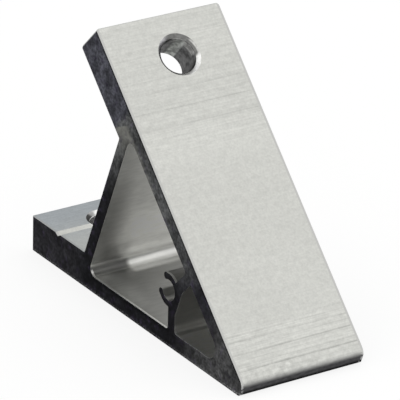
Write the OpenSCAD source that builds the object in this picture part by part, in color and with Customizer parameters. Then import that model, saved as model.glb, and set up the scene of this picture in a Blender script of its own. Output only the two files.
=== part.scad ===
/* [Legs] */
// Length of the piece cut from the extruded bar
cut_len = 32; // [24:1:60]
// Length of each leg, from the sharp corner where the two legs' outer faces meet to its free end
leg_len = 90.4; // [86:0.1:110]
// Thickness of each leg at its free end
leg_t = 8.5; // [7:0.25:10]
// Thickness of each leg where it walls a hollow
wall_t = 4; // [3:0.25:5]
// Angle between the two legs
toe_angle = 45; // [42:1:48]

/* [Toe] */
// Distance from the sharp corner of the two legs to where the toe is cut off, along each leg
toe_cut = 4.2; // [3.6:0.1:4.6]
// Radius between the cut toe and the sloped face
toe_r = 2.2; // [1:0.1:2.4]
// Radius between the cut toe and the underside
toe_foot_r = 0.5; // [0.2:0.1:0.9]

/* [Strut] */
// Distance from the sharp corner to the strut's outer face, halfway between the legs
strut_at = 65.5; // [60:0.5:68]
// Thickness of the strut
strut_t = 3.3; // [2:0.1:5]
// Radius where the strut's inner face meets each leg
strut_root_r = 1.9; // [0.8:0.1:2.5]
// Radius where the strut's outer face meets each leg
strut_foot_r = 0.4; // [0.2:0.1:1]

/* [Webs and screw port] */
// Distance from the sharp corner to the web's front face, along each leg
web_at = 29.8; // [27:0.2:34]
// Thickness of the two webs
web_t = 2.8; // [2:0.1:4]
// Radius at the root of each web
web_root_r = 0.8; // [0.4:0.1:1.5]
// Radius of the small hollow's blind end, towards the toe
toe_hollow_r = 2.9; // [1.5:0.1:3.5]
// Diameter of the screw port
port_d = 5; // [4:0.1:6]
// Thickness of the port's curved wall
port_wall = 1.5; // [1:0.1:1.6]
// Radius of the rounded lips
port_lip_r = 0.9; // [0.8:0.05:1.1]
// Half of the angle that the port's mouth leaves open
port_mouth = 50; // [35:1:60]
// Thickness of the port's wall towards the toe
port_back_t = 2; // [1.6:0.1:2.6]

/* [Free ends] */
// Radius of the corner between the sloped leg's end and its inner face
end_edge_r = 0.9; // [0.4:0.1:1.5]
// Radius of the small edges along both ends
end_break_r = 0.35; // [0.2:0.05:0.5]
// Radius of each leg's two corners, seen square to the leg
end_corner_r = 0.9; // [0.4:0.1:2]

/* [Drilled holes] */
// Diameter of the screw hole in each leg
hole_d = 8.5; // [6:0.1:11]
// Distance of each hole's centre from the leg's free end
hole_from_end = 10; // [8:0.1:14]
// How far each hole lies to its own side of the middle of the cut length
hole_shift = 1.5; // [0:0.1:3]
// Width of the bevel at each hole's upper rim
hole_bevel = 0.9; // [0.2:0.1:1]

/* [Drill line] */
// Distance of the line from the base leg's free end
line_from_end = 11.5; // [9:0.1:14]
// Width of the line where it opens on the leg
line_w = 2.1; // [1:0.1:3]
// Depth of the line
line_depth = 0.65; // [0.3:0.05:1]

/* [Hidden] */
$fn = 96;
// How far a cutting or joining shape runs past the face that it works on
past = 0.5;
// How far a rounding arc dips past the edges that it joins, so that it crosses them cleanly
dip = 0.004;
half_angle = toe_angle / 2;
hole_at = leg_len - hole_from_end;
line_at = leg_len - line_from_end;
web_back = web_at + web_t;
// Where the strut's two faces cross the legs' inner faces, along each leg
strut_foot = (strut_at - leg_t * sin(half_angle)) / cos(half_angle);
strut_root = (strut_at - strut_t - wall_t * sin(half_angle)) / cos(half_angle);
// The screw port's centre, where the webs' back faces meet
port_centre = [web_back, web_back * tan(half_angle)];
port_middle_r = port_d / 2 + port_wall / 2;
port_outer_r = port_d / 2 + port_wall;
port_back_at = norm(port_centre) - port_d / 2 - port_back_t;
// The toe is cut square to the bisector, so it leaves each leg at this angle
cut_angle = 90 + half_angle;
// The middle of the whole section along the base, from the foremost point of the rounded toe
toe_arc_from = toe_cut + (toe_r - dip) / tan(cut_angle / 2);
toe_front = toe_arc_from * cos(toe_angle) + (toe_r - dip) * sin(toe_angle) - toe_r;
section_mid = (toe_front + leg_len) / 2;

// The section lies with its origin at the sharp corner, where the two legs' outer faces would meet,
// and the base leg along +X.
// A point given for the base leg, mirrored onto the sloped leg
function across(point) = [
    point.x * cos(toe_angle) + point.y * sin(toe_angle),
    point.x * sin(toe_angle) - point.y * cos(toe_angle)
];

// A run of points along the base leg, followed by its mirror image along the sloped leg
function both_sides(points) =
    concat(points, [for (i = [len(points) - 1:-1:0]) across(points[i])]);

module on_both_legs() {
    children();
    mirror([-sin(half_angle), cos(half_angle)]) children();
}

// What lies between a corner and an arc of radius r that rounds it. The corner's two edges leave it
// at a start and an end angle. Added to an inner corner this is a fillet, and taken from an outer
// corner it rounds it.
module corner_fill(corner, start_angle, end_angle, r) {
    half = (end_angle - start_angle) / 2;
    arc_centre = [(r - dip) / tan(half), r - dip];
    second_end = [cos(2 * half), sin(2 * half)] * arc_centre.x + [-sin(2 * half), cos(2 * half)] * past;
    behind = -[cos(half), sin(half)] * past / sin(half);
    translate(corner) rotate(start_angle) difference() {
        polygon([behind, [arc_centre.x, -past], arc_centre, second_end]);
        translate(arc_centre) circle(r);
    }
}

module outline() {
    polygon(both_sides([[toe_cut, 0], [leg_len, 0], [leg_len, leg_t], [strut_foot, leg_t]]));
}

module large_hollow() {
    polygon(concat([port_centre], both_sides([[web_back, wall_t], [strut_root, wall_t]])));
}

module small_hollow() {
    web_tip = [web_at, web_at * tan(half_angle)];
    blind_tip = [wall_t / tan(half_angle), wall_t];
    floor_end = [web_at, wall_t];
    difference() {
        polygon([blind_tip, floor_end, web_tip, across(floor_end)]);
        // A flat square to the bisector keeps the port's wall whole
        rotate(half_angle) translate([port_back_at, -leg_len / 2]) square(leg_len);
    }
}

module fillets() {
    on_both_legs() {
        corner_fill([strut_foot, leg_t], 0, 90 + half_angle, strut_foot_r);
        corner_fill([strut_root, wall_t], 90 + half_angle, 180, strut_root_r);
        corner_fill([web_back, wall_t], 0, 90, web_root_r);
        corner_fill([web_at, wall_t], 90, 180, web_root_r);
    }
    corner_fill([wall_t / tan(half_angle), wall_t], 0, toe_angle, toe_hollow_r);
}

module rounded_edges() {
    corner_fill([toe_cut, 0], 0, cut_angle, toe_foot_r);
    corner_fill(across([toe_cut, 0]), toe_angle - cut_angle, toe_angle, toe_r);
    on_both_legs() corner_fill([leg_len, 0], 90, 180, end_break_r);
    corner_fill([leg_len, leg_t], 180, 270, end_break_r);
    corner_fill(across([leg_len, leg_t]), 90 + toe_angle, 180 + toe_angle, end_edge_r);
}

// The C-shaped port runs the whole length and takes a self-tapping screw from either end
module screw_port() {
    mouth_reach = 2 * port_outer_r;
    mouth_rise = mouth_reach * tan(port_mouth);
    translate(port_centre) rotate(half_angle) difference() {
        union() {
            difference() {
                circle(port_outer_r);
                polygon([[0, 0], [mouth_reach, -mouth_rise], [mouth_reach, mouth_rise]]);
            }
            for (side = [-1, 1])
                rotate(side * port_mouth) translate([port_middle_r, 0]) circle(port_lip_r);
        }
        circle(d = port_d);
    }
}

module drill_line() {
    polygon([
        [line_at - line_w / 2, leg_t],
        [line_at, leg_t - line_depth],
        [line_at + line_w / 2, leg_t],
        [line_at + line_w / 2, leg_t + past],
        [line_at - line_w / 2, leg_t + past],
    ]);
}

module section() {
    difference() {
        outline();
        large_hollow();
        small_hollow();
        translate(port_centre) circle(d = port_d);
        rounded_edges();
        drill_line();
    }
    fillets();
    screw_port();
}

// A hole through a leg whose upper face is at z = 0, bevelled at that face
module drilled_hole() {
    translate([0, 0, -leg_t - past]) cylinder(d = hole_d, h = leg_t + 2 * past);
    translate([0, 0, -hole_bevel])
        cylinder(r1 = hole_d / 2, r2 = hole_d / 2 + hole_bevel + past, h = hole_bevel + past);
}

// The two corners of a leg's free end, for a leg that lies along +Y below z = 0
module end_corners() {
    for (side = [0, 1])
        mirror([side, 0, 0])
            translate([0, 0, -leg_t - past]) linear_extrude(leg_t + 2 * past)
                corner_fill([cut_len / 2, leg_len], 180, 270, end_corner_r);
}

module angle_bracket() {
    color("silver") translate([0, -section_mid, 0]) difference() {
        rotate([90, 0, 90]) translate([0, 0, -cut_len / 2]) linear_extrude(cut_len) section();
        translate([-hole_shift, hole_at, leg_t]) drilled_hole();
        rotate([toe_angle, 0, 0]) translate([hole_shift, hole_at, 0]) drilled_hole();
        translate([0, 0, leg_t]) end_corners();
        rotate([toe_angle, 0, 0]) end_corners();
    }
}

angle_bracket();
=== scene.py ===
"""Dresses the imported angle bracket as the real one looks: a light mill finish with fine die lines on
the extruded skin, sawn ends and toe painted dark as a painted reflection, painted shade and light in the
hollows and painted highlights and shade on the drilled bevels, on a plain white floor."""

import math

import bpy
from mathutils import Matrix, Vector


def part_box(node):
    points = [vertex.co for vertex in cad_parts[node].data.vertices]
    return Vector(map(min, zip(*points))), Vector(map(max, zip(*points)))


MM = 0.001
NODE = "angle_bracket"

# The bracket as the solid has it. Along a leg, distances run from the sharp corner of the section,
# where the two legs' outer faces would meet.
CUT_LENGTH = 32 * MM
TOE_ANGLE = math.radians(45)
HALF_ANGLE = TOE_ANGLE / 2
LEG_LENGTH = 90.4 * MM
LEG_THICKNESS = 8.5 * MM
WALL = 4 * MM
STRUT_INNER = 62.2 * MM
STRUT_OUTER = 65.5 * MM
WEB_FRONT = 29.8 * MM
PORT_AT = 32.6 * MM
PORT_HEIGHT = PORT_AT * math.tan(HALF_ANGLE)
PORT_OUTER_RADIUS = 4 * MM
HOLE_RADIUS = 4.25 * MM
HOLE_BEVEL = 0.9 * MM
HOLE_FROM_END = 10 * MM
HOLE_AT = LEG_LENGTH - HOLE_FROM_END
HOLE_SHIFT = 1.5 * MM

# Places in the section, as the distance along the base and the height above the underside. Three lie
# in the fillet between the strut and the large hollow's floor, where its painted highlight and darkening
# sit, and one at the front of the lower web's root, where painted shade sits.
FILLET_MIDDLE = (64.2 * MM, 4.8 * MM)
FILLET_TOP = (64.6 * MM, 6.3 * MM)
FILLET_FOOT = (63.3 * MM, 4.3 * MM)
WEB_ROOT = (WEB_FRONT - 0.3 * MM, WALL + 0.3 * MM)

# The broken edges that the bevel modifier adds, and the angles that it and the flattening go by
EDGE_BREAK = 0.15 * MM
SHARP_ANGLE = math.radians(30)
FLAT_ANGLE = math.radians(0.5)
WELD_DISTANCE = 0.002 * MM
# Where the sawn colour and the bright edges start and are full, counted outwards from a sawn end
SAWN_REACH = (-1.2 * EDGE_BREAK, -1.05 * EDGE_BREAK)
BRIGHT_REACH = (-4 * EDGE_BREAK, -3.2 * EDGE_BREAK)

# Dark marks across the sloped face: how far up the slope, and how dark
SLOPE_MARKS = (
    (76 * MM, 0.08), (73 * MM, 0.10), (68.6 * MM, 0.14), (64.6 * MM, 0.10),
    (13.9 * MM, 0.20), (11 * MM, 0.20), (7.3 * MM, 0.28),
)

# Base colours of the metal
SKIN = (0.635, 0.638, 0.612)
# The base's flat top, painted bluer and darker: a painted reflection of the dim blue studio behind.
FLANGE_SKIN_REFLECTION = (0.555, 0.580, 0.596)
# The skin in the hollows, painted at full white for the painted shade there to darken.
HOLLOW_LIT_SKIN = (1.0, 1.0, 0.975)
# The cut toe, painted near black: painted shade and a painted reflection of dark surroundings. Its light
# flecks near the ends are rubs with painted glints.
NOSE_SHADE = (0.060, 0.059, 0.062)
NOSE_RUBS_AND_GLINTS = (0.36, 0.36, 0.36)
# The sawn ends, painted dark: a painted reflection of dark surroundings, darkest on the base as painted
# shade and lighter up the sloped leg.
SAWN_BASE_REFLECTION = (0.0105, 0.0105, 0.0125)
SAWN_BASE_END_REFLECTION = (0.0215, 0.0210, 0.0240)
SAWN_LEG_REFLECTION = (0.083, 0.085, 0.086)
SAWN_LEG_END_REFLECTION = (0.068, 0.069, 0.083)
SAWN_TOE_REFLECTION = (0.070, 0.070, 0.071)
SAWN_DARK_BAND = (0.022, 0.022, 0.027)
SAWN_JUNCTION = (0.190, 0.190, 0.175)
SAWN_PURPLE = (0.045, 0.035, 0.065)
# Light flecks along the sawn ends' foot: burrs with painted glints.
SAWN_BURR_GLINTS = (0.30, 0.30, 0.30)
# The drilled walls: painted shade in the bores, painted light at the rim, a painted reflection streak, and
# the base leg's bore painted lit towards its top.
BORE_RIGHT_SHADE = (0.105, 0.105, 0.105)
BORE_LEFT_SHADE = (0.14, 0.14, 0.14)
BORE_RIM_LIGHT = (0.36, 0.36, 0.35)
BORE_STREAK_REFLECTION = (0.46, 0.47, 0.46)
BORE_IN_BASE_LIT = (1.0, 1.0, 1.0)
# The drilled bevels, lit and shaded copies of one metal: painted highlights and painted shade by the way
# that they face.
BEVEL_HIGHLIGHT = (0.95, 0.95, 0.94)
BEVEL_SHADE = (0.06, 0.06, 0.06)
BEVEL_IN_BASE_SHADE = (0.38, 0.38, 0.38)
BEVEL_UPPER_SHADE = (0.20, 0.20, 0.195)
BEVEL_UPPER_LEFT_LIT = (0.62, 0.62, 0.60)
BEVEL_UPPER_RIGHT_LIT = (0.75, 0.74, 0.77)
EDGE = (0.56, 0.56, 0.55)
# A painted highlight on the edges in the hollows that face up.
HOLLOW_EDGE_HIGHLIGHT = (1.0, 1.0, 0.99)
PORT_EDGE = (0.45, 0.45, 0.44)

# Directions: the die lines along the bar, the saw's lines, and where the painted reflection streak in the
# sloped leg's bore faces
ALONG_BAR = (1, 0, 0)
SAW_LINES = (0, 0.5, 0.87)
BORE_REFLECTION_FACING = (-0.574, -0.579, -0.579)

# The shader of the metal
GRAZING_TINT = (0.6, 0.6, 0.6, 1)
SKIN_ROUGHNESS = 0.33
SAWN_ROUGHNESS = 0.5
ANISOTROPY = 0.5
QUARTER_TURN = 0.25
DIE_LINE_DEPTH = 0.02 * MM

# The floor and the studio
FLOOR_SIZE = 12
FLOOR_GAP = 0.02 * MM
FLOOR_COLOUR = (0.95, 0.95, 0.95, 1)
FLOOR_GLOW = 1.03
FLOOR_GLOW_SHARE = 0.8
STUDIO_LIGHT = (1.0, 1.0, 0.985)
STUDIO_BEHIND = (0.50, 0.53, 0.56)
BEHIND = (0.0, 0.85, -0.1)
WHITE = (1, 1, 1)

# The camera, fitted to the edges in the photograph
CAMERA_AZIMUTH = math.radians(-33.734)
CAMERA_ELEVATION = math.radians(24.427)
CAMERA_ROLL = math.radians(1.48)
CAMERA_DISTANCE = 942 * MM
CAMERA_TARGET = Vector((0, -1.789, 26.528)) * MM
FOCAL_PIXELS = 4259
PHOTO_PIXELS = 400
SENSOR_MM = 36


class Tree:
    """Adds shader nodes to one material or world, and links them."""

    def __init__(self, owner):
        owner.use_nodes = True
        self.nodes = owner.node_tree.nodes
        self.links = owner.node_tree.links
        self.nodes.clear()

    def node(self, kind, **settings):
        made = self.nodes.new("ShaderNode" + kind)
        for name, value in settings.items():
            setattr(made, name, value)
        return made

    def put(self, node, socket, value):
        """Sets a socket, by name or number, to a value or to another node's output."""
        if isinstance(value, bpy.types.NodeSocket):
            self.links.new(value, node.inputs[socket])
        else:
            node.inputs[socket].default_value = value

    def put_all(self, node, values):
        for index, value in enumerate(values):
            self.put(node, index, value)

    def math(self, operation, *values):
        made = self.node("Math", operation=operation)
        self.put_all(made, values)
        return made.outputs[0]

    def product(self, first, *others):
        for other in others:
            first = self.math("MULTIPLY", first, other)
        return first

    def other(self, share):
        """What is left of 1."""
        return self.math("SUBTRACT", 1.0, share)

    def changed(self, change):
        """A factor of 1 and the change."""
        return self.math("ADD", 1.0, change)

    def vector(self, operation, *values):
        made = self.node("VectorMath", operation=operation)
        self.put_all(made, values)
        return made.outputs["Value" if operation == "DOT_PRODUCT" else "Vector"]

    def ramp(self, value, start, end, low=0.0, high=1.0):
        """Goes smoothly from low, where the value is at start, to high, where it is at end."""
        made = self.node("MapRange", interpolation_type="SMOOTHSTEP")
        self.put_all(made, (value, start, end, low, high))
        return made.outputs[0]

    def between(self, value, start, full, waning, end):
        """1 where the value is from full to waning, falling to 0 at start and at end."""
        return self.product(self.ramp(value, start, full), self.ramp(value, end, waning))

    def line(self, value, at, half_width):
        """1 on a line where the value is at a place, falling to 0 beside it."""
        return self.ramp(self.math("ABSOLUTE", self.math("SUBTRACT", value, at)), half_width, 0.0)

    def mix(self, share, first, second):
        """The first colour where the share is 0, the second where it is 1."""
        made = self.node("Mix", data_type="RGBA")
        self.put(made, 0, share)
        for socket, colour in ((6, first), (7, second)):
            self.put(made, socket, (*colour, 1) if isinstance(colour, tuple) else colour)
        return made.outputs[2]

    def scaled(self, colour, *factors):
        """The colour made lighter or darker by the factors."""
        made = self.node("VectorMath", operation="SCALE")
        self.put(made, "Vector", colour)
        self.put(made, "Scale", self.product(*factors))
        return made.outputs["Vector"]

    def noise(self, place, along, around, detail=2.0):
        """Noise between 0 and 1, with the size of its grain along the bar and across it."""
        made = self.node("TexNoise")
        self.put(made, "Vector", self.vector("MULTIPLY", place, (1 / along, 1 / around, 1 / around)))
        self.put(made, "Scale", 1.0)
        self.put(made, "Detail", detail)
        return made.outputs["Fac"]

    def spread(self, noise, amount):
        """A factor around 1 that follows the noise by up to about the amount each way."""
        return self.math("MULTIPLY_ADD", self.ramp(noise, 0.25, 0.75, -1.0, 1.0), amount, 1.0)

    def radius(self, first, second):
        """The distance from the axis on which both values are 0."""
        squares = self.math("ADD", self.product(first, first), self.product(second, second))
        return self.math("SQRT", squares)


class Section:
    """Where a shaded point lies in the bracket's section, as sockets of a shader tree."""

    def __init__(self, tree, corner_y):
        self.tree = tree
        self.place = tree.node("TexCoord").outputs["Object"]
        self.normal = tree.node("NewGeometry").outputs["Normal"]
        self.across = tree.vector("DOT_PRODUCT", self.place, (1, 0, 0))
        self.height = tree.vector("DOT_PRODUCT", self.place, (0, 0, 1))
        self.from_middle = tree.math("ABSOLUTE", self.across)
        self.facing_right = self.facing(ALONG_BAR)
        self.facing_up = self.facing((0, 0, 1))
        self.from_corner = tree.vector("SUBTRACT", self.place, (0, corner_y, 0))
        self.on_base = self.along(0)
        self.up_slope = self.along(TOE_ANGLE)
        self.under_slope = self.along(TOE_ANGLE - math.pi / 2)
        self.on_bisector = self.along(HALF_ANGLE)
        self.off_bisector = self.along(HALF_ANGLE + math.pi / 2)

    def along(self, angle):
        """The distance from the sharp corner in a direction within the section."""
        return self.tree.vector("DOT_PRODUCT", self.from_corner, (0, math.cos(angle), math.sin(angle)))

    def facing(self, direction):
        """1 where the surface faces the direction, and -1 where it faces away."""
        return self.tree.vector("DOT_PRODUCT", self.normal, direction)

    def distance(self, on_base, height):
        """The distance from a line along the bar that has this place in the section."""
        past_it = self.tree.math("SUBTRACT", self.on_base, on_base)
        above_it = self.tree.math("SUBTRACT", self.height, height)
        return self.tree.radius(past_it, above_it)


def finished(tree, shader):
    output = tree.node("OutputMaterial")
    tree.put(output, "Surface", shader)


def end_masks(tree, section):
    """The sawn ends without their edges that face up or to the toe, and then the edges that face up."""
    past_end = tree.math("SUBTRACT", section.from_middle, CUT_LENGTH / 2)
    facing_up = tree.ramp(section.facing_up, 0.25, 0.45)
    facing_toe = section.facing((0, -math.cos(HALF_ANGLE), -math.sin(HALF_ANGLE)))
    sawn = tree.product(
        tree.ramp(past_end, *SAWN_REACH), tree.other(facing_up), tree.ramp(facing_toe, 0.6, 0.4))
    return sawn, tree.product(tree.ramp(past_end, *BRIGHT_REACH), facing_up)


def drill_masks(tree, section):
    """Where the walls and the bevels of the two drilled holes are."""
    walls = []
    bevels = []
    depth_in_base = tree.math("SUBTRACT", LEG_THICKNESS, section.height)
    holes = (
        (section.up_slope, HOLE_SHIFT, section.under_slope),
        (section.on_base, -HOLE_SHIFT, depth_in_base),
    )
    slack = 0.1 * MM
    rim = HOLE_RADIUS + HOLE_BEVEL
    for along, shift, depth in holes:
        sideways = tree.math("SUBTRACT", section.across, shift)
        radius = tree.radius(sideways, tree.math("SUBTRACT", along, HOLE_AT))
        in_leg = tree.between(depth, -3 * slack, -slack, LEG_THICKNESS + slack, LEG_THICKNESS + 3 * slack)
        in_bore = tree.ramp(radius, HOLE_RADIUS + slack, HOLE_RADIUS + slack / 2)
        walls.append(tree.product(in_bore, in_leg))
        in_rim = tree.ramp(radius, rim + slack / 2, rim - slack / 2)
        shallow = tree.ramp(depth, HOLE_BEVEL + slack, HOLE_BEVEL - slack / 2)
        bevels.append(tree.product(in_rim, shallow, in_leg))
    return tree.math("MAXIMUM", *walls), tree.math("MAXIMUM", *bevels)


def hollow_mask(tree, section):
    """The inside of both hollows, with the screw port."""
    return tree.product(
        tree.ramp(section.under_slope, 1.5 * MM, 2.5 * MM),
        tree.ramp(section.height, 1.5 * MM, 2.5 * MM),
        tree.ramp(section.on_bisector, STRUT_OUTER - 1 * MM, STRUT_INNER + 1 * MM))


def port_mask(tree, section):
    """The screw port with its lips."""
    from_centre = section.distance(PORT_AT, PORT_HEIGHT)
    return tree.ramp(from_centre, PORT_OUTER_RADIUS + 0.7 * MM, PORT_OUTER_RADIUS + 0.2 * MM)


def nose_mask(tree, section):
    """Where the cut toe's painted shade goes: the cut toe and the lower part of its rounding, without the
    underside.
    """
    return tree.product(
        tree.ramp(section.height, 3.75 * MM, 1.8 * MM),
        tree.ramp(section.on_base, 9 * MM, 6 * MM),
        tree.ramp(section.facing_up, -0.98, -0.9))


def flange_mask(tree, section):
    """The flat upper face of the base leg's free end."""
    return tree.product(
        tree.line(section.height, LEG_THICKNESS, 0.3 * MM), tree.ramp(section.facing_up, 0.97, 0.99))


def base_share(tree, section):
    """0 in the sloped leg's hole, 1 in the base leg's."""
    return tree.ramp(section.height, LEG_THICKNESS + 1 * MM, LEG_THICKNESS)


def skin_colour(tree, section, die_lines, flange):
    """The light skin that the die leaves, with lines along the bar, and rubbed near the toe. On the base's
    flat top it goes bluer and darker towards the free end, a painted reflection.
    """
    on_slope = tree.ramp(section.under_slope, 1.5 * MM, 0.8 * MM)
    upper = tree.ramp(section.up_slope, 56 * MM, 62 * MM)
    lower = tree.product(tree.ramp(section.up_slope, 18 * MM, 15 * MM), on_slope)
    lined = tree.math("ADD", tree.product(upper, 0.03), tree.product(lower, 0.06))
    line_strength = tree.math("ADD", tree.product(tree.other(flange), 0.02), lined)
    at_toe = tree.product(
        tree.ramp(section.up_slope, 9 * MM, 6 * MM), on_slope,
        tree.ramp(section.across, 10 * MM, -4 * MM, 0.3, 1.0))
    blotch_strength = tree.product(tree.changed(tree.product(at_toe, 2.0)), 0.045)

    blotches = tree.noise(section.place, 1.6 * MM, 1.2 * MM, 3.0)
    specks = tree.noise(section.place, 0.5 * MM, 0.5 * MM, 3.0)
    drift = tree.noise(section.place, 20 * MM, 12 * MM)
    scuffs = tree.noise(section.place, 4 * MM, 0.6 * MM, 3.0)
    lighter_band = tree.product(tree.line(section.up_slope, 59 * MM, 7 * MM), 0.04)
    level = tree.product(
        tree.spread(blotches, blotch_strength), tree.spread(specks, 0.055), tree.spread(drift, 0.02),
        tree.spread(scuffs, lined), tree.spread(die_lines, line_strength), tree.changed(lighter_band))

    gaps = tree.noise(section.place, 7 * MM, 0.5 * MM)
    broken = tree.product(tree.ramp(gaps, 0.35, 0.6, 0.35, 1.0), on_slope)
    for at, strength in SLOPE_MARKS:
        mark = tree.product(tree.line(section.up_slope, at, 0.35 * MM), broken, strength)
        level = tree.math("SUBTRACT", level, mark)
    # The painted reflection on the base's flat top, towards its free end.
    to_free_end = tree.product(flange, tree.ramp(section.on_base, 70 * MM, 88 * MM))
    return tree.mix(to_free_end, tree.scaled(SKIN, level), tree.scaled(FLANGE_SKIN_REFLECTION, level))


def nose_shade_colour(tree, section):
    """The cut toe's painted shade: a dark band along it, darker still at its foot as a painted contact
    shadow, with light flecks at the ends, rubs with painted glints.
    """
    worn = tree.noise(section.place, 1.2 * MM, 0.7 * MM, 3.0)
    # A painted contact shadow at the toe's foot.
    foot = tree.ramp(section.height, 0.5 * MM, 1.2 * MM, 0.15, 1.0)
    colour = tree.scaled(NOSE_SHADE, tree.spread(worn, 0.3), foot)
    beside_end = tree.ramp(section.from_middle, CUT_LENGTH / 2 - 1 * MM, CUT_LENGTH / 2 - 0.4 * MM)
    grain = tree.noise(section.place, 0.5 * MM, 0.5 * MM)
    return tree.mix(tree.product(beside_end, tree.ramp(grain, 0.48, 0.56)), colour, NOSE_RUBS_AND_GLINTS)


def sawn_shadows(tree, section):
    """Dark lines on the sawn ends: under the sloped face, along the strut and along the hollow's floor."""
    on_strut = tree.ramp(section.off_bisector, 21 * MM, 19 * MM)
    under_hollow = tree.between(section.on_base, WEB_FRONT, WEB_FRONT + 4 * MM, 63 * MM, 66 * MM)
    return (
        tree.product(tree.line(section.under_slope, 0, 0.9 * MM), 0.8),
        tree.product(tree.line(section.on_bisector, STRUT_INNER, 1.3 * MM), on_strut, 0.5),
        tree.product(tree.line(section.height, WALL, 1.5 * MM), under_hollow, 0.8),
    )


def sawn_colour(tree, section):
    """The sawn ends, painted dark as a painted reflection of dark surroundings: blue-grey on the sloped leg,
    near black (painted shade) on the base, dull at the toe.
    """
    base_end = tree.ramp(section.on_base, 66 * MM, 74 * MM)
    leg_side = tree.ramp(section.off_bisector, 0, 15 * MM)
    leg_end = tree.product(tree.ramp(section.up_slope, 69.5 * MM, 71 * MM), leg_side)
    toe = tree.ramp(section.on_bisector, 30 * MM, 16 * MM)
    # A darker band low on the sloped leg's end.
    dark_band = tree.product(
        tree.line(section.up_slope, 25 * MM, 11 * MM), tree.ramp(section.off_bisector, 1 * MM, 5 * MM))
    junction = tree.product(
        tree.ramp(section.off_bisector, 13 * MM, 22 * MM),
        tree.ramp(section.under_slope, 2.5 * MM, 4.5 * MM),
        tree.ramp(section.along(math.radians(64)), 63.6 * MM, 63.2 * MM))
    clouds = tree.noise(section.from_corner, 2 * MM, 2 * MM)

    colour = tree.mix(leg_side, tree.mix(base_end, SAWN_BASE_REFLECTION, SAWN_BASE_END_REFLECTION), SAWN_LEG_REFLECTION)
    colour = tree.mix(leg_end, colour, SAWN_LEG_END_REFLECTION)
    colour = tree.mix(toe, colour, SAWN_TOE_REFLECTION)
    colour = tree.mix(dark_band, colour, SAWN_DARK_BAND)
    colour = tree.mix(junction, colour, SAWN_JUNCTION)
    colour = tree.mix(tree.ramp(clouds, 0.55, 0.7, 0.0, 0.4), colour, SAWN_PURPLE)

    coarse = tree.noise(section.place, 2.5 * MM, 2.5 * MM)
    fine = tree.noise(section.place, 0.7 * MM, 0.7 * MM, 3.0)
    mottling = tree.ramp(junction, 0.0, 1.0, 0.45, 0.12)
    colour = tree.scaled(
        colour, tree.spread(coarse, mottling), tree.spread(fine, mottling),
        *[tree.other(shadow) for shadow in sawn_shadows(tree, section)])
    # Light flecks along the foot: burrs with painted glints.
    flecks = tree.product(
        tree.ramp(tree.noise(section.place, 0.4 * MM, 0.4 * MM), 0.50, 0.58),
        tree.ramp(section.height, 0.9 * MM, 0.4 * MM),
        tree.ramp(section.on_base, 14 * MM, 7 * MM, 0.3, 1.0))
    return tree.mix(flecks, colour, SAWN_BURR_GLINTS)


def hollow_shade_level(tree, section):
    """The painted shade in the hollows: how light their skin is painted. In the large one it changes with
    the distance from the end.
    """
    near_wall = tree.ramp(section.off_bisector, -3 * MM, 14 * MM, 0.42, 0.68)
    near_floor = tree.ramp(section.on_base, 40 * MM, 60 * MM, 0.47, 0.73)
    near = tree.ramp(section.height, 8 * MM, 5.5 * MM, near_wall, near_floor)
    far = tree.ramp(section.height, 8 * MM, 5.5 * MM, 0.79, 0.42)
    large = tree.ramp(section.across, -14.5 * MM, -8.5 * MM, near, far)
    small = tree.ramp(section.height, 6.5 * MM, 5 * MM, 0.47, 1.0)
    return tree.ramp(section.on_base, WEB_FRONT + 2 * MM, WEB_FRONT, large, small)


def fillet_changes(tree, section):
    """A painted highlight along the fillet at the strut's foot. Near the sawn end the fillet is darker
    instead, with a little painted light at its top.
    """
    near_sawn_end = tree.ramp(section.across, -5.4 * MM, -7.1 * MM)
    highlight_strip = tree.ramp(section.distance(*FILLET_FOOT), 3 * MM, 1.3 * MM)
    dull_strip = tree.ramp(section.distance(*FILLET_MIDDLE), 1.8 * MM, 0.3 * MM)
    top_strip = tree.ramp(section.distance(*FILLET_TOP), 1.2 * MM, 0.3 * MM)
    brighter = tree.ramp(section.across, -4 * MM, 8 * MM, 1.1, 0.7)
    duller = tree.ramp(section.across, -9 * MM, -13 * MM, -0.6, -0.7)
    return (
        tree.product(highlight_strip, tree.other(near_sawn_end), brighter),
        tree.product(dull_strip, near_sawn_end, duller),
        tree.product(top_strip, near_sawn_end, 0.2),
    )


def wall_changes(tree, section):
    """Painted light and painted shade on the strut's inner face, and painted shade in the corner at the
    web's root and on the port's back.
    """
    on_strut = tree.ramp(section.on_bisector, 55 * MM, 61 * MM)
    painted_light_strut = tree.product(
        tree.between(section.height, 9.5 * MM, 13 * MM, 16 * MM, 24 * MM),
        tree.ramp(section.across, -12 * MM, -7 * MM), on_strut, 0.3)
    painted_shade_strut_foot = tree.product(
        tree.between(section.height, 6.3 * MM, 7.3 * MM, 9.5 * MM, 12.5 * MM),
        tree.between(section.across, -15 * MM, -12 * MM, -8 * MM, -5 * MM), on_strut, -0.3)
    painted_shade_web_root = tree.product(tree.ramp(section.distance(*WEB_ROOT), 1.4 * MM, 0.7 * MM), -0.25)
    painted_shade_port_back = tree.product(
        port_mask(tree, section), tree.ramp(section.facing_up, 0.3, 0.6),
        tree.ramp(section.height, 15.5 * MM, 16.5 * MM), -0.6)
    return painted_light_strut, painted_shade_strut_foot, painted_shade_web_root, painted_shade_port_back


def hollow_colour(tree, section, die_lines):
    """The skin inside the hollows, with painted shade, painted light and the fillet's painted highlight."""
    blotches = tree.noise(section.place, 3 * MM, 1 * MM, 3.0)
    changes = fillet_changes(tree, section) + wall_changes(tree, section)
    return tree.scaled(
        HOLLOW_LIT_SKIN, hollow_shade_level(tree, section),
        tree.spread(blotches, 0.06), tree.spread(die_lines, 0.02),
        *[tree.changed(change) for change in changes])


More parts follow.
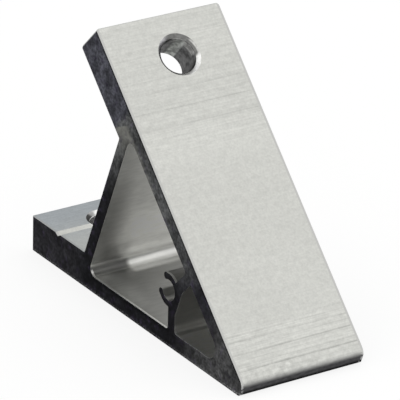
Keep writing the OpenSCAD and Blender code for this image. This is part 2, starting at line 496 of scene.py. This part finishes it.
def bore_colour(tree, section):
    """The mottled drilled walls, with painted shade in the bores. In the sloped leg they have a painted
    reflection streak and painted light at the rim, and in the base leg they are painted lighter towards the
    top."""
    mottling = tree.noise(section.place, 1.2 * MM, 1.2 * MM, 3.0)
    facing_left = tree.ramp(section.facing_right, -0.65, -0.45)
    ragged_depth = tree.math("MULTIPLY_ADD", mottling, 2.5 * MM, section.under_slope)
    # Painted light along the rim of the sloped leg's bore.
    light_rim = tree.product(
        tree.ramp(ragged_depth, 4.2 * MM, 3.4 * MM),
        tree.ramp(section.facing_up, 0.1, -0.05),
        tree.ramp(section.facing_right, 0.15, -0.05))
    # A painted reflection streak where the wall faces one way.
    streak = tree.ramp(section.facing(BORE_REFLECTION_FACING), 0.945, 0.985)
    # The base leg's bore painted lighter towards its top and darker deeper down, as painted shade.
    base_level = tree.ramp(section.height, 3 * MM, 6 * MM, 0.3, 0.95)

    colour = tree.mix(facing_left, BORE_RIGHT_SHADE, BORE_LEFT_SHADE)
    colour = tree.mix(light_rim, colour, BORE_RIM_LIGHT)
    colour = tree.mix(streak, colour, BORE_STREAK_REFLECTION)
    colour = tree.mix(base_share(tree, section), colour, tree.scaled(BORE_IN_BASE_LIT, base_level))
    return tree.scaled(colour, tree.spread(mottling, 0.55))


def bevel_colour(tree, section):
    """The drilled bevels, with painted highlights and painted shade by the way that they face."""
    mottling = tree.noise(section.place, 0.8 * MM, 0.8 * MM)
    to_right = section.facing_right
    upper_left = tree.product(
        tree.ramp(section.under_slope, 0.45 * MM, 0.25 * MM), tree.ramp(to_right, -0.45, -0.6))
    upper = tree.mix(upper_left, BEVEL_UPPER_SHADE, BEVEL_UPPER_LEFT_LIT)
    upper = tree.mix(tree.ramp(to_right, 0.1, 0.45), upper, BEVEL_UPPER_RIGHT_LIT)
    lower = tree.mix(tree.ramp(to_right, 0.2, 0.4), BEVEL_HIGHLIGHT, BEVEL_SHADE)
    on_leg = tree.mix(tree.ramp(section.facing_up, 0.52, 0.64), upper, lower)
    on_base = tree.mix(tree.ramp(to_right, 0.08, 0.22), BEVEL_HIGHLIGHT, BEVEL_IN_BASE_SHADE)
    on_base = tree.mix(tree.ramp(to_right, 0.3, 0.42), on_base, BEVEL_SHADE)
    return tree.scaled(tree.mix(base_share(tree, section), on_leg, on_base), tree.spread(mottling, 0.2))


def edge_colour(tree, section, hollow):
    """The edges of the sawn ends that face up: a painted highlight in the hollows, duller on the port."""
    colour = tree.mix(hollow, EDGE, HOLLOW_EDGE_HIGHLIGHT)
    return tree.mix(port_mask(tree, section), colour, PORT_EDGE)


def bracket_material(corner_y):
    """The whole finish, with its painted light and shade: each kind of surface in its place, on one metal
    with lines along the bar.
    """
    material = bpy.data.materials.new("mill_aluminium")
    tree = Tree(material)
    section = Section(tree, corner_y)
    sawn, bright_edge = end_masks(tree, section)
    bore_wall, bore_bevel = drill_masks(tree, section)
    hollow = hollow_mask(tree, section)
    flange = flange_mask(tree, section)

    die_lines = tree.noise(section.place, 70 * MM, 0.32 * MM, 4.0)
    colour = skin_colour(tree, section, die_lines, flange)
    colour = tree.mix(hollow, colour, hollow_colour(tree, section, die_lines))
    colour = tree.mix(nose_mask(tree, section), colour, nose_shade_colour(tree, section))
    colour = tree.mix(sawn, colour, sawn_colour(tree, section))
    colour = tree.mix(bright_edge, colour, edge_colour(tree, section, hollow))
    colour = tree.mix(bore_bevel, colour, bevel_colour(tree, section))
    colour = tree.mix(bore_wall, colour, bore_colour(tree, section))

    shader = tree.node("BsdfPrincipled")
    shader.inputs["Metallic"].default_value = 1.0
    shader.inputs["Specular Tint"].default_value = GRAZING_TINT
    shader.inputs["Anisotropic"].default_value = ANISOTROPY
    shader.inputs["Anisotropic Rotation"].default_value = QUARTER_TURN
    tree.put(shader, "Base Color", colour)
    tree.put(shader, "Roughness", tree.ramp(sawn, 0.0, 1.0, SKIN_ROUGHNESS, SAWN_ROUGHNESS))
    tree.put(shader, "Tangent", tree.mix(sawn, ALONG_BAR, SAW_LINES))
    smooth = tree.math("MAXIMUM", hollow, flange)
    bump = tree.node("Bump")
    tree.put(bump, "Height", die_lines)
    tree.put(bump, "Strength", tree.ramp(smooth, 0.0, 1.0, 0.25, 0.08))
    tree.put(bump, "Distance", DIE_LINE_DEPTH)
    tree.put(shader, "Normal", bump.outputs[0])
    finished(tree, shader.outputs[0])
    return material


def dress_bracket(bracket):
    """Breaks the sharp edges with modifiers and gives the solid its finish. Its mesh stays as it is."""
    corner_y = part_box(NODE)[1][1] - LEG_LENGTH
    material = bracket_material(corner_y)
    for slot in bracket.material_slots:
        slot.material = material
    weld = bracket.modifiers.new("joined_faces", "WELD")
    weld.merge_threshold = WELD_DISTANCE
    flat = bracket.modifiers.new("flat_faces", "DECIMATE")
    flat.decimate_type = "DISSOLVE"
    flat.angle_limit = FLAT_ANGLE
    bevel = bracket.modifiers.new("broken_edges", "BEVEL")
    bevel.width = EDGE_BREAK
    bevel.segments = 2
    bevel.limit_method = "ANGLE"
    bevel.angle_limit = SHARP_ANGLE
    bevel.loop_slide = False
    bracket.modifiers.new("smooth_arcs", "WEIGHTED_NORMAL")


def make_floor():
    """A plain floor that looks white and keeps the bracket's soft shadow."""
    bpy.ops.mesh.primitive_plane_add(size=FLOOR_SIZE, location=(0, 0, -FLOOR_GAP))
    floor = bpy.context.object
    floor.name = "floor"
    material = bpy.data.materials.new("white_floor")
    tree = Tree(material)
    lit = tree.node("BsdfDiffuse")
    tree.put(lit, "Color", FLOOR_COLOUR)
    glow = tree.node("Emission")
    tree.put(glow, "Strength", FLOOR_GLOW)
    rays = tree.node("LightPath").outputs
    seen = tree.math("MAXIMUM", rays["Is Camera Ray"], rays["Is Glossy Ray"])
    seen = tree.math("MAXIMUM", seen, rays["Is Transmission Ray"])
    blend = tree.node("MixShader")
    tree.put(blend, 0, tree.product(seen, FLOOR_GLOW_SHARE))
    tree.put(blend, 1, lit.outputs[0])
    tree.put(blend, 2, glow.outputs[0])
    finished(tree, blend.outputs[0])
    floor.data.materials.append(material)


def make_world():
    """A plain studio: bright overhead and in front, and a little dimmer and bluer low behind."""
    world = bpy.data.worlds.new("studio")
    bpy.context.scene.world = world
    tree = Tree(world)
    direction = tree.node("TexCoord").outputs["Generated"]
    behind = tree.ramp(tree.vector("DOT_PRODUCT", direction, BEHIND), 0.25, 0.75)
    colour = tree.mix(behind, STUDIO_LIGHT, STUDIO_BEHIND)
    colour = tree.mix(tree.node("LightPath").outputs["Is Camera Ray"], colour, WHITE)
    background = tree.node("Background")
    tree.put(background, "Color", colour)
    output = tree.node("OutputWorld")
    tree.put(output, "Surface", background.outputs[0])


def make_camera():
    """The camera where the photographer's was."""
    data = bpy.data.cameras.new("camera")
    data.sensor_fit = "HORIZONTAL"
    data.sensor_width = SENSOR_MM
    data.lens = FOCAL_PIXELS * SENSOR_MM / PHOTO_PIXELS
    back = Vector((
        math.sin(CAMERA_AZIMUTH) * math.cos(CAMERA_ELEVATION),
        -math.cos(CAMERA_AZIMUTH) * math.cos(CAMERA_ELEVATION),
        math.sin(CAMERA_ELEVATION),
    ))
    level_right = Vector((math.cos(CAMERA_AZIMUTH), math.sin(CAMERA_AZIMUTH), 0))
    right = Matrix.Rotation(CAMERA_ROLL, 3, back) @ level_right
    up = back.cross(right)
    turn = Matrix((right, up, back)).transposed().to_4x4()
    camera = bpy.data.objects.new("camera", data)
    bpy.context.scene.collection.objects.link(camera)
    camera.matrix_world = Matrix.Translation(CAMERA_TARGET + back * CAMERA_DISTANCE) @ turn
    bpy.context.scene.camera = camera


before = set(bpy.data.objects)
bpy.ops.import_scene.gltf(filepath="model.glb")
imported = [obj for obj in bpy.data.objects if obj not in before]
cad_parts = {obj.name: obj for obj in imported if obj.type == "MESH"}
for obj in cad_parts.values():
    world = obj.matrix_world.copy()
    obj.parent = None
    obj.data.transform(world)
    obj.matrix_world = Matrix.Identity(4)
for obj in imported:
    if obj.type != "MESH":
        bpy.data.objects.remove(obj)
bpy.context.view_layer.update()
bpy.context.scene.view_settings.view_transform = "Standard"
make_camera()
dress_bracket(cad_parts[NODE])
make_floor()
make_world()
